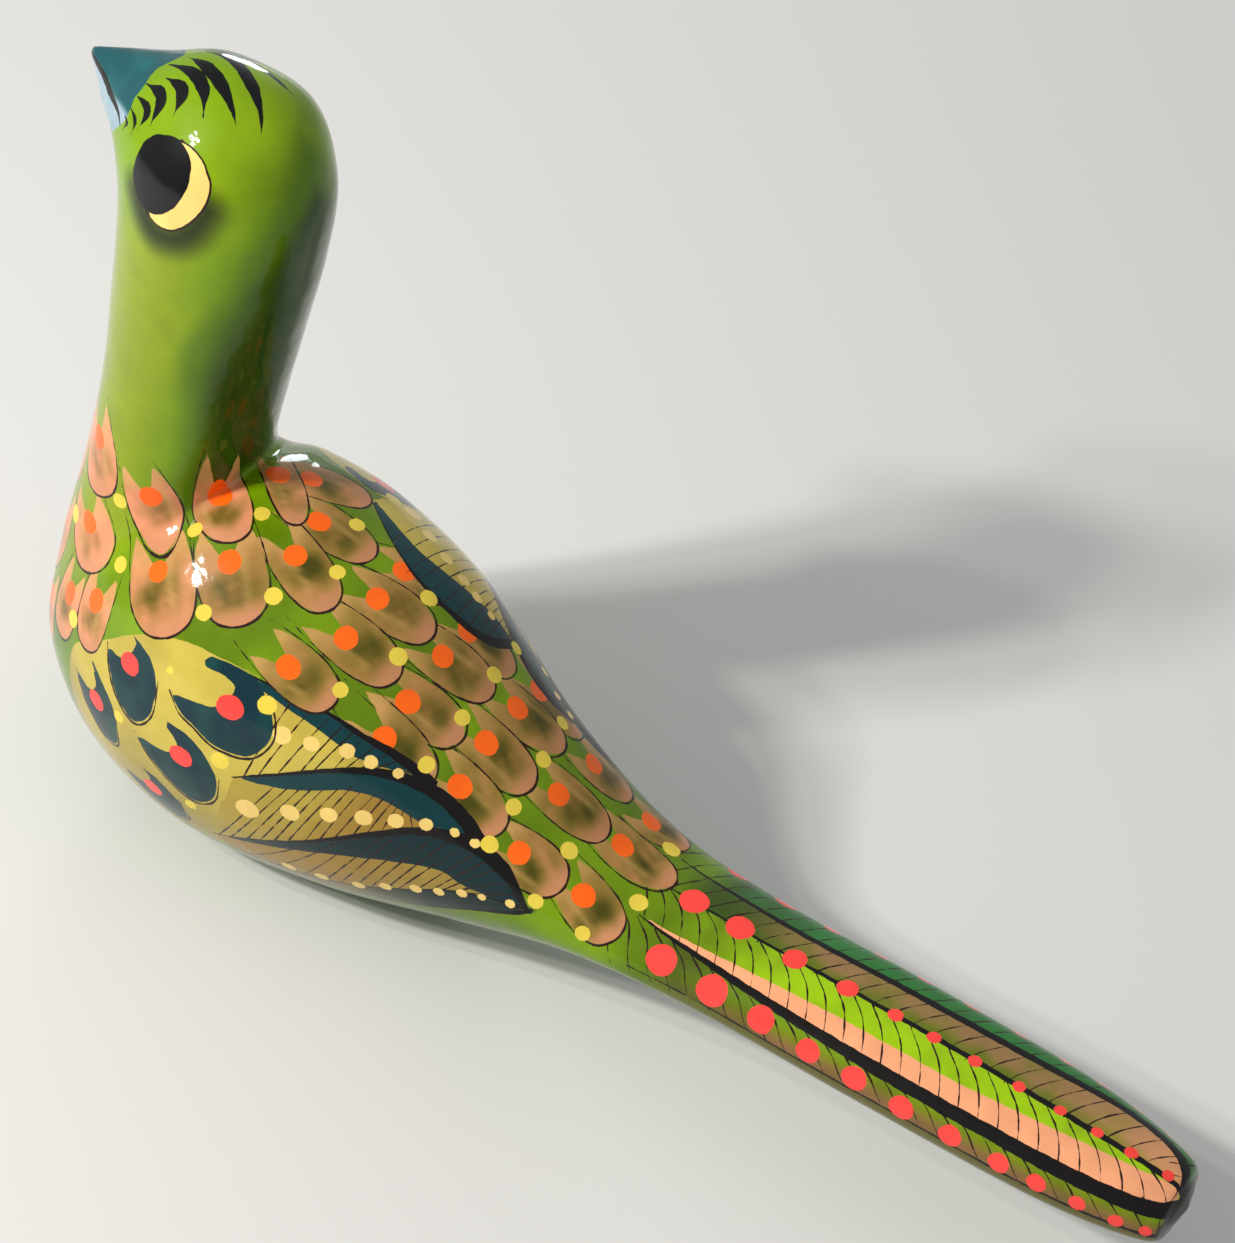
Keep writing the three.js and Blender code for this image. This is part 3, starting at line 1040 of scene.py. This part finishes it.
class Nodes:
    """Short calls for building a node tree."""

    def __init__(self, material):
        material.use_nodes = True
        self.tree = material.node_tree
        self.tree.nodes.clear()

    def add(self, kind, inputs=None, **settings):
        node = self.tree.nodes.new(kind)
        for name, value in settings.items():
            setattr(node, name, value)
        for name, value in (inputs or {}).items():
            self.feed(node.inputs[name], value)
        return node

    def feed(self, socket, value):
        if isinstance(value, bpy.types.NodeSocket):
            self.tree.links.new(value, socket)
        else:
            socket.default_value = value

    def math(self, operation, first, second=0.0, clamp=False):
        node = self.add("ShaderNodeMath", operation=operation, use_clamp=clamp)
        self.feed(node.inputs[0], first)
        self.feed(node.inputs[1], second)
        return node.outputs[0]

    def attribute(self, name, output):
        return self.add("ShaderNodeAttribute", attribute_name=name).outputs[output]

    def noise(self, scale, detail, vector):
        return self.add("ShaderNodeTexNoise", {"Scale": scale, "Detail": detail, "Vector": vector})

    def mix(self, factor, first, second, blend="MIX"):
        node = self.add("ShaderNodeMix", data_type="RGBA", blend_type=blend)
        self.feed(node.inputs[0], factor)
        self.feed(node.inputs[6], first)
        self.feed(node.inputs[7], second)
        return node.outputs[2]


EDGE_SOFTNESS = 0.09    # over how many millimetres a mark's edge blends
EDGE_TREMBLE = 0.5      # how far the brush's tremble moves an edge, from one side to the other


def painted_glaze():
    """The colour at each place: the ground, with the marks laid over it in turn."""
    material = bpy.data.materials.new("varnished_paint")
    nodes = Nodes(material)
    where = nodes.add("ShaderNodeTexCoord").outputs["Object"]
    tremble = nodes.noise(420, 2, where).outputs[0]
    wobble = nodes.math("MULTIPLY", nodes.math("SUBTRACT", tremble, 0.5), EDGE_TREMBLE)
    colour = nodes.attribute("ground", "Color")
    for k in range(Coat.SLOTS):
        parts = nodes.add("ShaderNodeSeparateXYZ", {"Vector": nodes.attribute(f"edge{k}", "Vector")})
        edge = nodes.math("MAXIMUM", parts.outputs[0], parts.outputs[1])
        cover = nodes.math("SUBTRACT", wobble, edge)
        cover = nodes.math("ADD", nodes.math("DIVIDE", cover, EDGE_SOFTNESS), 0.5, clamp=True)
        colour = nodes.mix(cover, colour, nodes.attribute(f"mark{k}", "Color"))
    return material, nodes, where, colour


def finish_glaze(material, nodes, where, colour):
    """Brush streaks and thin places in the paint, and the varnish over it."""
    streaks = nodes.noise(160, 5, where).outputs[0]
    value = nodes.math("ADD", nodes.math("MULTIPLY", streaks, 0.36), 0.82)
    worked = nodes.add("ShaderNodeHueSaturation", {"Value": value, "Color": colour}).outputs[0]
    specks = nodes.noise(900, 2, where).outputs[0]
    chips = nodes.math("MULTIPLY", nodes.math("SUBTRACT", specks, 0.72, clamp=True), 2.0)
    worked = nodes.mix(chips, worked, (*linear(CHIP_BROWN), 1))
    swell = nodes.noise(75, 2, where).outputs[0]
    ripple = nodes.noise(260, 3, where).outputs[0]
    height = nodes.math("ADD", swell, nodes.math("MULTIPLY", ripple, 0.12))
    bump = nodes.add("ShaderNodeBump", {"Height": height, "Strength": 0.35, "Distance": 0.0012})
    roughness = nodes.math("ADD", nodes.math("MULTIPLY", streaks, 0.2), 0.3)
    shader = nodes.add("ShaderNodeBsdfPrincipled", {
        "Base Color": worked, "Roughness": roughness, "Normal": bump.outputs[0],
        "Specular IOR Level": 0.05,
        "Coat Weight": 0.9, "Coat Roughness": 0.06, "Coat IOR": 1.34, "Coat Normal": bump.outputs[0],
    })
    nodes.add("ShaderNodeOutputMaterial", {"Surface": shader.outputs[0]})
    return material


bird = make_bird()
bird.data.materials.append(finish_glaze(*painted_glaze()))
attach(bird, "root")
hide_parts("bird")


# Floor, lights and camera

def plain_material(name, colour, roughness):
    material = bpy.data.materials.new(name)
    nodes = Nodes(material)
    looks = {"Base Color": (*linear(colour), 1), "Roughness": roughness}
    shader = nodes.add("ShaderNodeBsdfPrincipled", looks)
    nodes.add("ShaderNodeOutputMaterial", {"Surface": shader.outputs[0]})
    return material


def make_floor(half_size=4.0):
    corners = [(-half_size, -half_size, 0), (half_size, -half_size, 0), (half_size, half_size, 0),
               (-half_size, half_size, 0)]
    mesh = bpy.data.meshes.new("floor")
    mesh.from_pydata(corners, [], [(0, 1, 2, 3)])
    mesh.materials.append(plain_material("pale_floor", FLOOR_GREY, 0.8))
    floor = bpy.data.objects.new("floor", mesh)
    bpy.context.scene.collection.objects.link(floor)


def direction(azimuth, elevation):
    """The way to a place seen at an azimuth from the bird's front towards its left, and an elevation."""
    az, el = math.radians(azimuth), math.radians(elevation)
    return Vector((math.sin(az) * math.cos(el), -math.cos(az) * math.cos(el), math.sin(el)))


def add_light(name, azimuth, elevation, distance, size, power, aim, colour):
    light = bpy.data.lights.new(name, "AREA")
    light.shape = "DISK"
    light.size = size
    light.energy = power
    light.color = colour
    lamp = bpy.data.objects.new(name, light)
    way = direction(azimuth, elevation)
    lamp.location = aim + way * distance
    lamp.rotation_euler = way.to_track_quat("Z", "Y").to_euler()
    bpy.context.scene.collection.objects.link(lamp)


# Small lamps close together, for a cluster of sparkles: azimuth, elevation, size and power
KEY_LAMPS = [(50, 38, 0.06, 2.8), (55, 41, 0.05, 2.4), (54, 35, 0.04, 1.8), (48, 44, 0.03, 1.0)]
WARM_WHITE = (1, 0.97, 0.92)
COOL_WHITE = (0.9, 0.96, 1)
SKY_STRENGTH = 0.42


def add_lights():
    aim = Vector((0, 0.02, 0.08))
    for azimuth, elevation, size, power in KEY_LAMPS:
        add_light("key", azimuth, elevation, 0.9, size, power, aim, WARM_WHITE)
    add_light("rim", -60, 9, 1.3, 0.35, 3.5, aim, COOL_WHITE)
    world = bpy.data.worlds.new("soft_studio")
    world.use_nodes = True
    sky = world.node_tree.nodes["Background"]
    sky.inputs["Color"].default_value = (1, 1, 1, 1)
    sky.inputs["Strength"].default_value = SKY_STRENGTH
    bpy.context.scene.world = world


# The camera, as fitted to the photo, with its target in millimetres
IMAGE_WIDTH = 1235
SENSOR_WIDTH = 36.0
FOCAL_PIXELS = 3460
CAMERA_AZIMUTH, CAMERA_ELEVATION, CAMERA_ROLL = 116.264, 43.493, 10.278
CAMERA_DISTANCE = 624
CAMERA_TARGET = Vector((-0.679, 63.579, 91.853))


def add_camera():
    """The camera looks at the target from its azimuth and elevation, rolled a little."""
    camera_data = bpy.data.cameras.new("camera")
    camera_data.sensor_fit = "HORIZONTAL"
    camera_data.sensor_width = SENSOR_WIDTH
    camera_data.lens = FOCAL_PIXELS / IMAGE_WIDTH * SENSOR_WIDTH
    camera = bpy.data.objects.new("camera", camera_data)
    back = direction(CAMERA_AZIMUTH, CAMERA_ELEVATION)
    level = Vector((0, 0, 1)).cross(back).normalized()
    rise_way = back.cross(level)
    roll = math.radians(CAMERA_ROLL)
    right = level * math.cos(roll) + rise_way * math.sin(roll)
    up = rise_way * math.cos(roll) - level * math.sin(roll)
    turn = Matrix((right, up, back)).transposed().to_4x4()
    camera.matrix_world = Matrix.Translation((CAMERA_TARGET + back * CAMERA_DISTANCE) * MM) @ turn
    bpy.context.scene.collection.objects.link(camera)
    bpy.context.scene.camera = camera


make_floor()
add_lights()
add_camera()
bpy.context.scene.view_settings.view_transform = "Standard"
